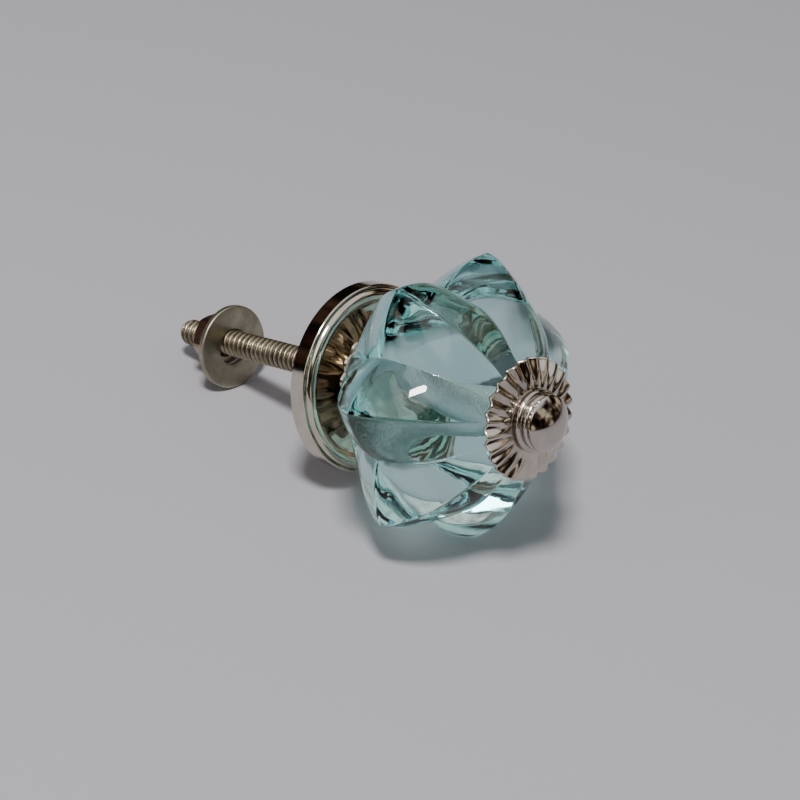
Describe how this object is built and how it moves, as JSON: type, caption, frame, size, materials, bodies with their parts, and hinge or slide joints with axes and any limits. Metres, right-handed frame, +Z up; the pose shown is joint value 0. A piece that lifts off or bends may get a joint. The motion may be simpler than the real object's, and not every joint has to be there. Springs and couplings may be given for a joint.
{
  "type": "drawer knob",
  "caption": "Lobed clear glass drawer knob between fluted metal cups, with a domed front, a round backplate and a long threaded rod with washer and nut.",
  "frame": {"origin": "centre of the backplate's rear face, on the knob's axis, where the knob sits on the drawer front", "axes": "+Y along the knob's axis into the drawer, towards the threaded rod's tip; -Y towards the domed front; +Z up on an upright drawer front"},
  "size_m": [0.0404, 0.0749, 0.0394],
  "materials": {
    "plate_chrome": "polished, slightly warm",
    "cup_chrome": "polished, pressed flutes",
    "head_chrome": "polished",
    "pressed_glass": "clear, pale aqua, pressed",
    "cushion": "soft, off-white",
    "rod_steel": "plated, rolled thread",
    "dull_nickel": "dull plated"
  },
  "bodies": {
    "plate": {"backplate": "plate_chrome"},
    "knob": {"rear_fluted_cup": "cup_chrome", "rear_cushion": "cushion", "glass_head": "pressed_glass", "front_cushion": "cushion", "front_fluted_cup": "cup_chrome", "stepped_ferrule": "head_chrome", "dome_head": "head_chrome", "threaded_rod": "rod_steel"},
    "washer": {"washer": "dull_nickel"},
    "nut": {"hex_nut": "dull_nickel"}
  },
  "joints": [
    {"name": "knob_turn", "type": "hinge", "parent": "plate", "child": "knob", "pos_m": [0, 0, 0], "axis": [0, 1, 0], "continuous": true},
    {"name": "washer_slide", "type": "slide", "parent": "knob", "child": "washer", "axis": [0, 1, 0], "range_m": [-0.024, 0.001]},
    {"name": "nut_turn", "type": "hinge", "parent": "washer", "child": "nut", "pos_m": [0, 0.0295, 0], "axis": [0, 1, 0], "range_deg": [-8640, 360]}
  ],
  "couplings": [
    {"joint": "nut_turn", "follows": "washer_slide", "rad_per_m": 6283.2}
  ]
}
